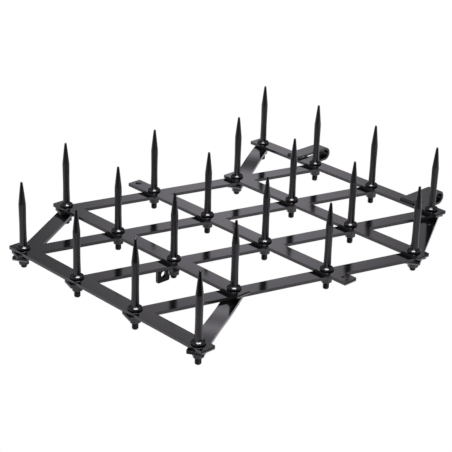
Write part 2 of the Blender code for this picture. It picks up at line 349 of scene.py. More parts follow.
@dataclass(frozen=True)
class Enamel:
    """Black stoved enamel over steel.

    Attributes:
        name: the material's name.
        slot: the record's material slot for this finish; not used.
        color: colour of the whole film.
        roughness: middle roughness of the film.
        grain: what shows through from the steel under it.
        relief: depth of that grain in metres.
        shape: which light falls on the pieces.
        sides: which of a bar's faces are cut ones, which get a painted sheen.
        scale_dulling: roughness that forging scale adds on a spike's shaft.
        dust: share of dust in the colour where it lies thickest.
        dust_color: colour of the dust.
        side_color: colour of the painted sheen on the cut sides.
        worn_color: colour of the painted highlight along the rim round a sheared end.
        torn_color: colour of the painted reflection on the lower part of a sheared end, below its
            smooth upper part.
        shear_depth: how far down the smooth upper part of a sheared end goes.
        shear_slope: how much that part leans back.
        ior: the film's index of refraction, which sets how strongly it mirrors.
    """

    name: str
    slot: str
    color: Color
    roughness: float
    grain: Grain
    relief: float
    shape: Shape = Shape.ROUND
    sides: Sides = Sides.NONE
    scale_dulling: float = 0.12
    dust: float = 0.006
    dust_color: Color = (0.16, 0.15, 0.155)
    side_color: Color = (0.023, 0.0224, 0.0233)
    worn_color: Color = (0.24, 0.235, 0.24)
    torn_color: Color = (0.150, 0.146, 0.151)
    shear_depth: float = 0.0036
    shear_slope: float = 0.45
    ior: float = 1.5

    def material(self) -> bpy.types.Material:
        """Make the material, or find it if it was made before.

        Returns:
            The material.
        """
        found = bpy.data.materials.get(self.name)
        if found:
            return found
        material = bpy.data.materials.new(self.name)
        material.use_nodes = True
        board = Board(material.node_tree)
        shader = material.node_tree.nodes["Principled BSDF"]
        place = board.add("ShaderNodeTexCoord", output="Object")
        seed = board.add("ShaderNodeObjectInfo", output="Random") * SEED_SPREAD
        color, roughness = self.film(board, place, seed)
        height = self.height(board, place, seed)
        bump_values = {"Strength": 1.0, "Distance": 1.0, "Height": height}
        bump = board.add("ShaderNodeBump", None, bump_values)
        links = material.node_tree.links
        links.new(color.socket, shader.inputs["Base Color"])
        links.new(roughness.socket, shader.inputs["Roughness"])
        links.new(bump.socket, shader.inputs["Normal"])
        shader.inputs["IOR"].default_value = self.ior
        return material

    def film(self, board: Board, place: Wire, seed: Wire) -> tuple[Wire, Wire]:
        """Colour and roughness of the paint film.

        Args:
            board: the material's node tree.
            place: position on the piece.
            seed: number that differs between copies.

        Returns:
            The colour and the roughness.
        """
        cloud = board.noise(place, CLOUDS, seed)
        speck = board.noise(place, SPECKS, seed).ease(*SPECK_SPAN)
        smear = board.noise(place, SMEARS, seed)
        paler = tuple(channel * CLOUD_GAIN for channel in self.color)
        color = board.mix(cloud.ease(*CLOUD_SPAN), self.color, paler)
        normal = board.add("ShaderNodeNewGeometry", output="Normal")
        level = board.split(normal, "Z").ease(*LEVEL_SPAN)
        drift = cloud.ease(*DRIFT_SPAN) * DRIFT_SHARE + speck * SPECK_SHARE
        settled = level * drift * self.dust
        color = board.mix(settled.at_most(1.0), color, self.dust_color)
        roughness = self.roughness + (smear - SMEAR_MIDDLE) * SMEAR_DULLING + settled * DUST_DULLING
        if self.grain is Grain.FORGED:
            rise = board.split(place, "Z")
            top = rise.ease(SCALE_TOP - SCALE_TOP_BLEND, SCALE_TOP + SCALE_TOP_BLEND, 1.0, 0.0)
            roughness = roughness + rise.ease(*SCALE_FOOT_SPAN) * top * self.scale_dulling
        # Painted sheen, reflection and highlight on the cut faces
        if self.sides is not Sides.NONE:
            color = self.cut_faces(board, place, seed, color)
        return color, roughness.at_least(GLOSSIEST).at_most(DULLEST)

    def cut_faces(self, board: Board, place: Wire, seed: Wire, color: Wire) -> Wire:
        """Paint a sheen on the faces where a bar was cut, and a reflection and a rim highlight on
        its sheared ends.

        Args:
            board: the material's node tree.
            place: position on the bar.
            seed: number that differs between copies.
            color: colour of the film elsewhere.

        Returns:
            The colour with the painted sheen, reflection and highlight.
        """
        facing = board.add("ShaderNodeTexCoord", output="Normal")
        across, up = abs(board.split(facing, "Y")), abs(board.split(facing, "Z"))
        cut = across if self.sides is Sides.LONG else 1.0 - up
        patchy = board.noise(place, PATCHES, seed).ease(*PATCH_SPAN, PATCH_LEAST, 1.0)
        # Painted sheen: the cut side faces are paler grey, in patches
        color = board.mix(cut.ease(*SIDE_SHEEN_SPAN) * patchy, color, self.side_color)
        if self.sides is Sides.ALL:
            end = abs(board.split(facing, "X"))
            # Painted reflection: each sheared end is paler below its smooth upper part
            below_shear = board.split(place, "Z").ease(-self.shear_depth, -self.shear_depth - END_REFLECTION_BLEND)
            sheared = board.mix(below_shear, self.color, self.torn_color)
            color = board.mix(end.ease(*END_SPAN), color, sheared)
            # Painted highlight along the top rim of each sheared end, in patches
            color = board.mix((end * up).ease(*RIM_HIGHLIGHT_SPAN) * patchy, color, self.worn_color)
        return color

    def height(self, board: Board, place: Wire, seed: Wire) -> Wire:
        """Relief of the surface in metres.

        Args:
            board: the material's node tree.
            place: position on the piece.
            seed: number that differs between copies.

        Returns:
            The height for the bump.
        """
        relief = board.noise(place, PEEL, seed) * PEEL_DEPTH
        if self.sides is Sides.ALL:
            facing = board.add("ShaderNodeTexCoord", output="Normal")
            end = abs(board.split(facing, "X")).ease(*END_SPAN)
            above_tear = (board.split(place, "Z") + self.shear_depth).at_least(0.0)
            relief = relief - end * above_tear * self.shear_slope
        steel = board.noise(place, STEEL[self.grain], seed)
        if self.grain is Grain.ROLLED:
            steel = steel + board.noise(place, ROLL_LINES, seed) * ROLL_LINE_SHARE
        return relief + steel * self.relief


BAR_ENAMEL = Enamel(
    name="bar_enamel",
    slot="bar_black",
    color=(0.0008, 0.0008, 0.0009),
    roughness=0.12,
    grain=Grain.ROLLED,
    relief=0.00003,
    shape=Shape.FLAT,
    sides=Sides.ALL,
)
SPIKE_ENAMEL = Enamel(
    name="spike_enamel",
    slot="spike_black",
    color=(0.0012, 0.0011, 0.0012),
    roughness=0.18,
    grain=Grain.FORGED,
    relief=0.00004,
)
NUT_ENAMEL = Enamel(
    name="nut_enamel",
    slot="nut_black",
    color=(0.0080, 0.0077, 0.0082),
    roughness=0.26,
    grain=Grain.FORGED,
    relief=0.00003,
    dust=0.01,
)
HOOK_ENAMEL = Enamel(
    name="hook_enamel",
    slot="hook_black",
    color=(0.0010, 0.0010, 0.0011),
    roughness=0.13,
    grain=Grain.ROLLED,
    relief=0.00003,
    shape=Shape.FLAT,
    sides=Sides.LONG,
)
# Shaded copy of the bar enamel: it mirrors less, through its lower ior and greater roughness, as
# painted shade for the bracket under the frame; its edges carry a paler painted sheen
SHADED_BRACKET_ENAMEL = Enamel(
    name="shaded_bracket_enamel",
    slot="bar_black",
    color=(0.0030, 0.0029, 0.0031),
    roughness=0.34,
    grain=Grain.ROLLED,
    relief=0.00003,
    shape=Shape.FLAT,
    sides=Sides.LONG,
    side_color=(0.090, 0.088, 0.091),
    ior=1.22,
)
SOOTY_ENAMEL = Enamel(
    name="sooty_enamel",
    slot="hook_black",
    color=(0.0010, 0.0009, 0.0010),
    roughness=0.50,
    grain=Grain.WELDED,
    relief=0.00012,
    shape=Shape.FLAT,
)
WELD_ENAMEL = Enamel(
    name="weld_enamel",
    slot="hook_black",
    color=(0.0012, 0.0011, 0.0012),
    roughness=0.44,
    grain=Grain.WELDED,
    relief=0.00012,
    dust=0.003,
)


# Mesh tools


def finish_piece(
    name: str,
    mesh: bpy.types.Mesh,
    enamel: Enamel,
    place: Matrix,
    stands_for: str | None = None,
) -> bpy.types.Object:
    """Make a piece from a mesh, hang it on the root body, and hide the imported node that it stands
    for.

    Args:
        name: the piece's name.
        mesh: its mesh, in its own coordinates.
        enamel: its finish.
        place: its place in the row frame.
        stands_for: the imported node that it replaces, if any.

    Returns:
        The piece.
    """
    piece = bpy.data.objects.new(name, mesh)
    bpy.context.scene.collection.objects.link(piece)
    piece.matrix_world = place
    mesh.materials.clear()
    mesh.materials.append(enamel.material())
    enamel.shape.group().objects.link(piece)
    bpy.context.view_layer.update()
    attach(piece, ROOT_BODY)
    if stands_for:
        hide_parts(stands_for)
    return piece


def settle(item: bpy.types.Object, name: str) -> bpy.types.Mesh:
    """Mesh of an object as its modifiers leave it; the object itself is removed.

    Args:
        item: the object, linked to the scene.
        name: the new mesh's name.

    Returns:
        The finished mesh.
    """
    bpy.context.view_layer.update()
    graph = bpy.context.evaluated_depsgraph_get()
    mesh = bpy.data.meshes.new_from_object(item.evaluated_get(graph))
    mesh.name = name
    bpy.data.objects.remove(item, do_unlink=True)
    return mesh


def shade_round(mesh: bpy.types.Mesh, angle: float = SMOOTH_ANGLE) -> bpy.types.Mesh:
    """Shade a mesh smooth, with its harder edges kept sharp.

    Args:
        mesh: the mesh.
        angle: the least angle of an edge that stays sharp.

    Returns:
        The same mesh.
    """
    mesh.shade_smooth()
    mesh.set_sharp_from_angle(angle=angle)
    return mesh


RadiusRule = Callable[[float, float, float], float]


def turned(
    name: str,
    profile: Sequence[Point2],
    sides: int,
    rule: RadiusRule | None = None,
) -> bpy.types.Mesh:
    """Closed mesh turned about Z, from a profile that closes on the axis or on itself.

    Args:
        name: the mesh's name.
        profile: radius and height of each ring, from the top down the outer side; a ring of
            radius zero is one point.
        sides: how many points each ring has.
        rule: gives a point's radius from its angle, the ring's radius and its height.

    Returns:
        The mesh.
    """
    points: list[tuple[float, float, float]] = []
    rings: list[list[int]] = []
    for radius, height in profile:
        if radius == 0.0:
            rings.append([len(points)])
            points.append((0.0, 0.0, height))
            continue
        ring = []
        for side in range(sides):
            angle = 2 * math.pi * side / sides
            reach = rule(angle, radius, height) if rule else radius
            ring.append(len(points))
            points.append((reach * math.cos(angle), reach * math.sin(angle), height))
        rings.append(ring)
    wrap = rings[:1] if len(rings[0]) > 1 else []
    faces: list[tuple[int, ...]] = []
    for upper, lower in zip(rings, rings[1:] + wrap):
        for side in range(sides):
            after = (side + 1) % sides
            if len(upper) == 1:
                faces.append((upper[0], lower[side], lower[after]))
            elif len(lower) == 1:
                faces.append((upper[side], lower[0], upper[after]))
            else:
                faces.append((upper[side], lower[side], lower[after], upper[after]))
    mesh = bpy.data.meshes.new(name)
    mesh.from_pydata(points, [], faces)
    mesh.validate()
    return mesh


def arc(centre: Point2, radius: float, first: float, last: float, steps: int) -> list[Point2]:
    """Points of an arc, with angles measured from the first axis towards the second.

    Args:
        centre: the arc's centre.
        radius: its radius.
        first: angle of its first point.
        last: angle of its last point.
        steps: how many segments it has.

    Returns:
        The points, both ends included.
    """
    across, along = centre
    turns = (first + (last - first) * step / steps for step in range(steps + 1))
    return [(across + radius * math.cos(turn), along + radius * math.sin(turn)) for turn in turns]


# The frame's places


@dataclass(frozen=True)
class Lattice:
    """Where the spikes stand and how high the bars lie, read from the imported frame.

    Attributes:
        rows: letters of the rows, in order.
        per_row: how many spikes a row has.
    """

    rows: str = "abcde"
    per_row: int = 4

    def names(self) -> list[str]:
        """The lattice's nodes, such as a1, row by row."""
        return [f"{row}{hole + 1}" for row in self.rows for hole in range(self.per_row)]

    def spot(self, node: str) -> Vector:
        """A spike's axis at the height of the row bars' top faces.

        Args:
            node: the lattice node, such as a1.

        Returns:
            The point in the row frame.
        """
        low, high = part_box(f"spike_{node}")
        return Vector(((low[0] + high[0]) / 2, (low[1] + high[1]) / 2, self.deck()))

    def deck(self) -> float:
        """Height of the row bars' top faces."""
        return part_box(f"row_bar_{self.rows[0]}")[1][2]


LATTICE = Lattice()


# Bars


@dataclass(frozen=True)
class Hole:
    """A round hole through a bar.

    Attributes:
        radius: the hole's radius.
        place: its centre in the bar's coordinates, with the hole's axis as that place's own Z.
    """

    radius: float
    place: Matrix


@dataclass
class Strip:
    """Flat bar whose top face follows a path, with rolled edges and sheared ends.

    Attributes:
        path: distance and height of the top face's points.
        width: the bar's width.
        thickness: the bar's thickness.
        edge: radius of its rolled edges.
        corner: radius of its corners, seen from above.
        edge_steps: segments across a rolled edge.
        edge_angle: the least angle of an edge that is rolled.
        corner_steps: segments round a corner.
        hole_sides: sides of a hole's mesh.
        holes: holes that stay open.
    """

    path: list[Point2]
    width: float = BAR_WIDTH
    thickness: float = BAR_THICKNESS
    edge: float = 0.0009
    corner: float = 0.0022
    edge_steps: int = 3
    edge_angle: float = math.radians(50)
    corner_steps: int = 4
    hole_sides: int = 40
    holes: list[Hole] = field(default_factory=list)

    def mesh(self, name: str) -> bpy.types.Mesh:
        """Build the strip.

        Args:
            name: the mesh's name.

        Returns:
            The closed mesh.
        """
        item = bpy.data.objects.new(name, self.sheet(name))
        bpy.context.scene.collection.objects.link(item)
        wall = item.modifiers.new("thickness", "SOLIDIFY")
        wall.thickness = self.thickness
        wall.offset = -1.0
        wall.use_even_offset = True
        cutters = [self.cut(item, hole) for hole in self.holes]
        edge = item.modifiers.new("rolled_edge", "BEVEL")
        edge.width = self.edge
        edge.segments = self.edge_steps
        edge.limit_method = "ANGLE"
        edge.angle_limit = self.edge_angle
        even = item.modifiers.new("even_shading", "WEIGHTED_NORMAL")
        even.keep_sharp = True
        mesh = settle(item, name)
        for cutter in cutters:
            bpy.data.objects.remove(cutter, do_unlink=True)
        return mesh

    def end_stations(self, end: Point2, inner: Point2) -> list[tuple[Point2, float]]:
        """Points that round the two corners of one end.

        Args:
            end: the path's end point.
            inner: the path's next point.

        Returns:
            Points of the path, each with half the strip's width there, from the end inwards.
        """
        span = math.dist(end, inner)
        inward = ((inner[0] - end[0]) / span, (inner[1] - end[1]) / span)
        stations = []
        for step in range(self.corner_steps + 1):
            turn = math.pi / 2 * step / self.corner_steps
            inset = self.corner * (1 - math.cos(turn))
            reach = self.width / 2 - self.corner * (1 - math.sin(turn))
            stations.append(((end[0] + inward[0] * inset, end[1] + inward[1] * inset), reach))
        return stations

    def sheet(self, name: str) -> bpy.types.Mesh:
        """The strip's top face, with round corners.

        Args:
            name: the mesh's name.

        Returns:
            The open mesh, facing up.
        """
        half = self.width / 2
        stations = self.end_stations(self.path[0], self.path[1])
        stations += [(point, half) for point in self.path[1:-1]]
        stations += reversed(self.end_stations(self.path[-1], self.path[-2]))
        shape = bmesh.new()
        rows = []
        for (x, z), reach in stations:
            rows.append((shape.verts.new((x, reach, z)), shape.verts.new((x, -reach, z))))
        for (left, right), (next_left, next_right) in zip(rows, rows[1:]):
            shape.faces.new((left, right, next_right, next_left))
        for face in shape.faces:
            face.smooth = True
        mesh = bpy.data.meshes.new(name)
        shape.to_mesh(mesh)
        shape.free()
        return mesh

    def cut(self, item: bpy.types.Object, hole: Hole) -> bpy.types.Object:
        """Cut one hole.

        Args:
            item: the bar.
            hole: the hole.

        Returns:
            The cutter, to be removed once the bar is settled.
        """
        reach = self.thickness * 2
        profile = [(0.0, reach), (hole.radius, reach), (hole.radius, -reach), (0.0, -reach)]
        cutter = bpy.data.objects.new("cutter", turned("cutter", profile, self.hole_sides))
        bpy.context.scene.collection.objects.link(cutter)
        cutter.matrix_world = hole.place
        bore = item.modifiers.new("hole", "BOOLEAN")
        bore.operation = "DIFFERENCE"
        bore.solver = "EXACT"
        bore.object = cutter
        return cutter


class BarKind(Enum):
    """Which part a bar plays in the frame."""

    ROW = "row_bar"
    CROSS = "cross_bar"
    BRACE = "corner_brace"


@dataclass
class FrameBar:
    """One bar of the frame, from its first spike to its last.

    Attributes:
        kind: which part it plays.
        label: what follows the kind in its node's name.
        first: lattice node at its start.
        last: lattice node at its end.
        overhang: how far it runs past its first and its last spike.
        open_holes: distance from each end to the centre of a hitch hole, or 0 for none.
        hole_radius: radius of a hitch hole.
        climb_steps: segments of the stretch that climbs.
    """

    kind: BarKind
    label: str
    first: str
    last: str
    overhang: tuple[float, float]
    open_holes: float = 0.0
    hole_radius: float = 0.0065
    climb_steps: int = 24

    @property
    def node(self) -> str:
        """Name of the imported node."""
        return f"{self.kind.value}_{self.label}"

    def path(self, span: float, slant: float, rise: float) -> list[Point2]:
        """Path of the bar's top face.

        Args:
            span: distance between its first and last spikes.
            slant: sine of the angle between it and the row bars' normal.
            rise: how far its last end climbs, or 0.

        Returns:
            Points from one end to the other.
        """
        points = [(-self.overhang[0], 0.0)]
        if rise > 0:
            across = math.sqrt(1 - slant * slant)
            lap = BAR_WIDTH / 2 * (1 + slant) / across
            for step in range(self.climb_steps + 1):
                share = step / self.climb_steps
                climb = rise * (share - math.sin(2 * math.pi * share) / (2 * math.pi))
                points.append((lap + (span - 2 * lap) * share, climb))
        points.append((span + self.overhang[1], max(rise, 0.0)))
        return points

    def build(self) -> bpy.types.Object:
        """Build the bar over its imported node.

        Returns:
            The finished piece.
        """
        low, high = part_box(self.node)
        start, end = LATTICE.spot(self.first), LATTICE.spot(self.last)
        along = end - start
        along.z = 0.0
        rise = high[2] - low[2] - BAR_THICKNESS
        rise = rise if rise > SEAT_GAP else 0.0
        start.z = high[2] - rise
        place = Matrix.Translation(start) @ Matrix.Rotation(math.atan2(along.y, along.x), 4, "Z")
        path = self.path(along.length, abs(along.y) / along.length, rise)
        holes = []
        if self.open_holes:
            for at in (path[0][0] + self.open_holes, path[-1][0] - self.open_holes):
                holes.append(Hole(self.hole_radius, Matrix.Translation((at, 0.0, 0.0))))
        mesh = Strip(path, holes=holes).mesh(self.node)
        return finish_piece(f"{self.node}_shown", mesh, BAR_ENAMEL, place, self.node)


@dataclass
class BarFrame:
    """All the bars of the frame.

    Attributes:
        row_end: how far a row bar runs past its outer spikes.
        long_ends: the same for each end of the long row bar.
        hitch_hole: distance from the long row bar's ends to the centres of its hitch holes.
        cross_end: how far a cross bar runs past its outer spikes.
        brace_end: how far a corner brace runs past its spikes.
        long_row: letter of the long row.
        crosses: first and last lattice node of each cross bar.
        braces: first and last lattice node of each corner brace.
    """

    row_end: float = 0.0255
    long_ends: tuple[float, float] = (0.066, 0.061)
    hitch_hole: float = 0.0155
    cross_end: float = 0.019
    brace_end: float = 0.0195
    long_row: str = "c"
    crosses: Sequence[tuple[str, str]] = (("b1", "e2"), ("a1", "e3"), ("a2", "e4"), ("a3", "d4"))
    braces: Sequence[tuple[str, str]] = (("a1", "b1"), ("d1", "e1"), ("b4", "a4"), ("d4", "e4"))

    def bars(self) -> Iterable[FrameBar]:
        """Every bar, rows first.

        Yields:
            Each bar.
        """
        for row in LATTICE.rows:
            is_long = row == self.long_row
            ends = self.long_ends if is_long else (self.row_end, self.row_end)
            holes = self.hitch_hole if is_long else 0.0
            yield FrameBar(BarKind.ROW, row, f"{row}1", f"{row}{LATTICE.per_row}", ends, holes)
        cross_ends = (self.cross_end, self.cross_end)
        for number, (first, last) in enumerate(self.crosses, 1):
            yield FrameBar(BarKind.CROSS, str(number), first, last, cross_ends)
        brace_ends = (self.brace_end, self.brace_end)
        for number, (first, last) in enumerate(self.braces, 1):
            yield FrameBar(BarKind.BRACE, str(number), first, last, brace_ends)

    def build(self) -> list[bpy.types.Object]:
        """Build every bar.

        Returns:
            The finished pieces.
        """
        return [bar.build() for bar in self.bars()]


# Spikes and nuts


@dataclass
class SpikeForging:
    """One forged spike: point, shaft, domed collar and threaded stud.

    Heights are measured from the row bar's top face, and shares run from the top down.

    Attributes:
        height: height of its tip.
        taper: length of its point, down to the shoulder.
        shoulder_radius: radius where the point meets the shaft.
        waist_radius: radius in the middle of the shaft.
        root_radius: radius where the shaft meets the collar.
        point_radius: radius of the blunt tip.
        tip_arc: first and last angle of the tip's round, above level.
        tip_steps: segments of that round.
        point_shares: where the point has its rings.
        point_swell: how much the point bulges in its middle.
        shoulder_drop: how far below the shoulder the point's last ring lies.
        shoulder_share: radius of that ring, as a share of the shoulder's.
        shaft_shares: where the shaft has its rings.
        foot_rise: height of the shaft's foot over the collar, as a share of the root radius.
        foot_share: radius of that foot, as a share of the root radius.
        collar_radius: radius of the collar's rim.
        collar_height: height of its dome.
        collar_rim: height of its rim.
        collar_steps: segments of its dome.
        rim_share: where the rim's lower edge begins to turn in, as a share of its height.
        rim_inset: how far that edge turns in.
        stud_radius: radius of the stud.
        stud_reach: how far the stud reaches down.
        thread_top: height at which its thread begins.
        thread_pitch: rise of one turn of the thread.
        thread_depth: depth of its grooves.
        thread_samples: rings in one turn.
        stud_chamfer: size of the stud's chamfer.
        chamfer_middle: inset and height of the chamfer's middle, as shares of its size.
        sides: sides of the whole mesh.
    """

    height: float = SPIKE_HEIGHT
    taper: float = SPIKE_TAPER
    shoulder_radius: float = 0.0071
    waist_radius: float = 0.0067
    root_radius: float = 0.0073
    point_radius: float = 0.0024
    tip_arc: Span = (math.radians(70), math.radians(8))
    tip_steps: int = 4
    point_shares: Sequence[float] = (0.12, 0.3, 0.5, 0.7, 0.86, 0.95, 0.99)
    point_swell: float = 0.0001
    shoulder_drop: float = 0.0003
    shoulder_share: float = 0.999
    shaft_shares: Sequence[float] = (0.008, 0.05, 0.1, 0.2, 0.3, 0.4, 0.5, 0.6, 0.7, 0.8, 0.86)
    foot_rise: float = 0.35
    foot_share: float = 0.985
    collar_radius: float = 0.0134
    collar_height: float = 0.0066
    collar_rim: float = 0.0016
    collar_steps: int = 7
    rim_share: float = 0.4
    rim_inset: float = 0.0005
    stud_radius: float = 0.0062
    stud_reach: float = 0.0397
    thread_top: float = -0.0150
    thread_pitch: float = 0.00195
    thread_depth: float = 0.0009
    thread_samples: int = 4
    stud_chamfer: float = 0.0014
    chamfer_middle: Point2 = (0.6, 0.35)
    sides: int = 32

    @property
    def shoulder(self) -> float:
        """Height where the point meets the shaft."""
        return self.height - self.taper

    def point(self) -> list[Point2]:
        """The blunt point.

        Returns:
            Its rings, from the tip down to the shoulder.
        """
        tip = self.height - self.point_radius
        widening = self.shoulder_radius - self.point_radius
        rings = [(0.0, self.height)]
        rings += arc((0.0, tip), self.point_radius, *self.tip_arc, self.tip_steps)
        for share in self.point_shares:
            swell = self.point_swell * math.sin(math.pi * share)
            radius = self.point_radius + widening * share + swell
            rings.append((radius, tip - (tip - self.shoulder) * share))
        turn_radius = self.shoulder_radius * self.shoulder_share
        rings.append((turn_radius, self.shoulder - self.shoulder_drop))
        return rings

    def shaft(self) -> list[Point2]:
        """The shaft, narrower in its middle than at its ends.

        Returns:
            Its rings, from the shoulder down to the collar's dome.
        """
        rings = []
        for share in self.shaft_shares:
            nearer = self.shoulder_radius if share < 0.5 else self.root_radius
            bulge = (1 + math.cos(2 * math.pi * share)) / 2
            radius = self.waist_radius + (nearer - self.waist_radius) * bulge
            rings.append((radius, self.shoulder * (1 - share)))
        foot = self.collar_height + self.root_radius * self.foot_rise
        rings.append((self.root_radius * self.foot_share, foot))
        return rings

    def collar(self) -> list[Point2]:
        """The domed collar.

        Returns:
            Its rings, from the shaft's foot down to its seat.
        """
        dome = self.collar_height - self.collar_rim
        start = math.acos(self.root_radius / self.collar_radius)
        rings = []
        for step in range(self.collar_steps + 1):
            turn = start * (1 - step / self.collar_steps)
            lift = dome * math.sin(turn) / math.sin(start)
            rings.append((self.collar_radius * math.cos(turn), self.collar_rim + lift))
        rings.append((self.collar_radius, self.collar_rim * self.rim_share))
        rings.append((self.collar_radius - self.rim_inset, SEAT_GAP))
        return rings

    def stud(self) -> list[Point2]:
        """The stud, with enough rings for its thread.

        Returns:
            Its rings, from the collar's seat down to its chamfered end.
        """
        step = self.thread_pitch / self.thread_samples
        count = int((self.stud_reach + self.thread_top - self.stud_chamfer) / step)
        rings = [(self.stud_radius, SEAT_GAP)]
        rings += [(self.stud_radius, self.thread_top - step * ring) for ring in range(count + 1)]
        inset, lift = (self.stud_chamfer * share for share in self.chamfer_middle)
        rings.append((self.stud_radius - inset, -self.stud_reach + lift))
        rings.append((self.stud_radius - self.stud_chamfer, -self.stud_reach))
        rings.append((0.0, -self.stud_reach))
        return rings

    def radius_at(self, angle: float, radius: float, height: float) -> float:
        """Cut the thread into the stud.

        Args:
            angle: angle round the spike.
            radius: the ring's own radius.
            height: the ring's height.

        Returns:
            The radius there.
        """
        end = -self.stud_reach + self.stud_chamfer
        if height > self.thread_top or height < end:
            return radius
        turns = (height / self.thread_pitch - angle / (2 * math.pi)) % 1.0
        cut = self.thread_depth * (1 - abs(2 * turns - 1))
        fade = min(1.0, (self.thread_top - height) / self.thread_pitch)
        return radius - cut * fade

    def mesh(self) -> bpy.types.Mesh:
        """Build the spike once for all its copies."""
        profile = self.point() + self.shaft() + self.collar() + self.stud()
        return shade_round(turned("spike", profile, self.sides, self.radius_at))

    def build(self) -> list[bpy.types.Object]:
        """Put a spike on every node of the lattice.

        Returns:
            The finished pieces.
        """
        mesh = self.mesh()
        pieces = []
        for name in LATTICE.names():
            node = f"spike_{name}"
            place = Matrix.Translation(LATTICE.spot(name))
            pieces.append(finish_piece(f"{node}_shown", mesh, SPIKE_ENAMEL, place, node))
        return pieces


@dataclass
class FlangeNut:
    """Hexagon nut with a fixed washer, its seat at height zero and its body below.

    Attributes:
        flat_radius: half the distance across its flats.
        corner_radius: half the distance across its corners.
        height: height of the hexagon.
        chamfer_slope: rise of the corners' chamfer over its run.
        chamfer_flat: radius of the flat end inside the chamfer.
        chamfer_steps: segments of the chamfer.
        washer_radius: radius of the washer.
        washer_thickness: thickness of the washer.
        edge: size of the washer's broken edges.
        crease: depth of the crease between washer and hexagon.
        bore_radius: radius of the bore.
        mouth: size of the bore's countersink.
        sides: sides of the whole mesh.
        corners: corners of the hexagon.
        sharp_angle: the least angle of an edge that stays sharp.
    """

    flat_radius: float = 0.00935
    corner_radius: float = 0.0108
    height: float = 0.0106
    chamfer_slope: float = 0.55
    chamfer_flat: float = 0.0092
    chamfer_steps: int = 6
    washer_radius: float = 0.0112
    washer_thickness: float = 0.0020
    edge: float = 0.0004
    crease: float = 0.00008
    bore_radius: float = 0.0064
    mouth: float = 0.0005
    sides: int = 72
    corners: int = 6
    sharp_angle: float = math.radians(28)

    def radius_at(self, angle: float, radius: float, height: float) -> float:
        """Keep a ring inside the hexagon where it is below the washer.

        Args:
            angle: angle round the nut.
            radius: the ring's own radius.
            height: the ring's height.

        Returns:
            The radius there.
        """
        if height > -self.washer_thickness or radius <= self.bore_radius:
            return radius
        sector = 2 * math.pi / self.corners
        off = (angle % sector) - sector / 2
        return min(radius, self.flat_radius / math.cos(off))

    def profile(self) -> list[Point2]:
        """Outline of the nut.

        Returns:
            Its rings, from the seat down the outer side and back up the bore.
        """
        top = -self.washer_thickness
        bottom = top - self.height
        rings = [
            (self.washer_radius - self.edge, 0.0),
            (self.washer_radius, -self.edge),
            (self.washer_radius, top + self.edge),
            (self.washer_radius - self.edge, top + self.crease),
            (self.corner_radius, top - self.crease),
        ]
        run = self.corner_radius - self.chamfer_flat
        for step in range(self.chamfer_steps + 1):
            share = step / self.chamfer_steps
            lift = run * self.chamfer_slope * (1 - share)
            rings.append((self.corner_radius - run * share, bottom + lift))
        rings.append((self.bore_radius + self.mouth, bottom))
        rings.append((self.bore_radius, bottom + self.mouth))
        rings.append((self.bore_radius, -self.edge))
        return rings

    def build(self) -> list[bpy.types.Object]:
        """Put a nut over each packed nut.

        Returns:
            The finished pieces.
        """
        nut = turned("nut", self.profile(), self.sides, self.radius_at)
        mesh = shade_round(nut, self.sharp_angle)
        pieces = []
        for name in LATTICE.names():
            node = f"nut_{name}"
            seat = LATTICE.spot(name)
            seat.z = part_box(node)[1][2]
            place = Matrix.Translation(seat)
            pieces.append(finish_piece(f"{node}_shown", mesh, NUT_ENAMEL, place, node))
        return pieces


# Tow hooks, their welds and the angle bracket


@dataclass
class WeldBead:
    """A bead of weld between two points, rippled and lumpy.

    Attributes:
        name: the piece's name.
        start: its first end in the row frame.
        end: its last end in the row frame.
        radius: its radius.
        enamel: its finish.
        ripple: length of one ripple.
        ripple_depth: depth of the ripples.
        swell_rate: radians of its long swells in each metre.
        swell_start: the angle that the swells start with.
        swell_share: height of the swells, as a share of the radius.
        lump_rate: radians of its finer lumps in each metre.
        lump_count: how many lumps there are once round the bead.
        lump_share: height of the lumps, as a share of the radius.
        least_radius: radius below which no ring goes.
        sides: sides of the whole mesh.
        samples: rings in one ripple.
        least_rings: how many rings the shortest bead has.
        sharp_angle: the least angle of an edge that stays sharp.
    """

    name: str
    start: Vector
    end: Vector
    radius: float = 0.0040
    enamel: Enamel = WELD_ENAMEL
    ripple: float = 0.0030
    ripple_depth: float = 0.0005
    swell_rate: float = 430.0
    swell_start: float = 1.3
    swell_share: float = 0.09
    lump_rate: float = 1010.0
    lump_count: int = 2
    lump_share: float = 0.06
    least_radius: float = 0.0002
    sides: int = 14
    samples: int = 6
    least_rings: int = 8
    sharp_angle: float = math.radians(60)

    def profile(self) -> list[Point2]:
        """Outline of the bead, blunt at both ends.

        Returns:
            Its rings along its own axis, from its last end back to its start.
        """
        length = (self.end - self.start).length
        count = max(self.least_rings, round(length / self.ripple * self.samples))
        rings = [(0.0, length)]
        for step in range(1, count):
            at = length * (1 - step / count)
            blunt = min(at, length - at) / self.radius
            cap = math.sqrt(max(0.0, 1 - (1 - min(blunt, 1.0)) ** 2))
            wave = abs(math.sin(math.pi * at / self.ripple))
            radius = self.radius * cap - self.ripple_depth * (1 - wave) * cap
            rings.append((max(radius, self.least_radius), at))
        rings.append((0.0, 0.0))
        return rings

    def radius_at(self, angle: float, radius: float, height: float) -> float:
        """Swell and pinch the bead unevenly.

        Args:
            angle: angle round the bead.
            radius: the ring's own radius.
            height: distance along the bead.

        Returns:
            The radius there.
        """
        swell = math.sin(height * self.swell_rate + self.swell_start) * self.swell_share
        lump = math.sin(height * self.lump_rate + angle * self.lump_count) * self.lump_share
        return radius * (1 + swell + lump)

    def build(self) -> bpy.types.Object:
        """Build the bead.

        Returns:
            The finished piece.
        """
        bead = turned(self.name, self.profile(), self.sides, self.radius_at)
        mesh = shade_round(bead, self.sharp_angle)
        turn = Vector((0, 0, 1)).rotation_difference(self.end - self.start).to_matrix().to_4x4()
        place = Matrix.Translation(self.start) @ turn
        return finish_piece(self.name, mesh, self.enamel, place)


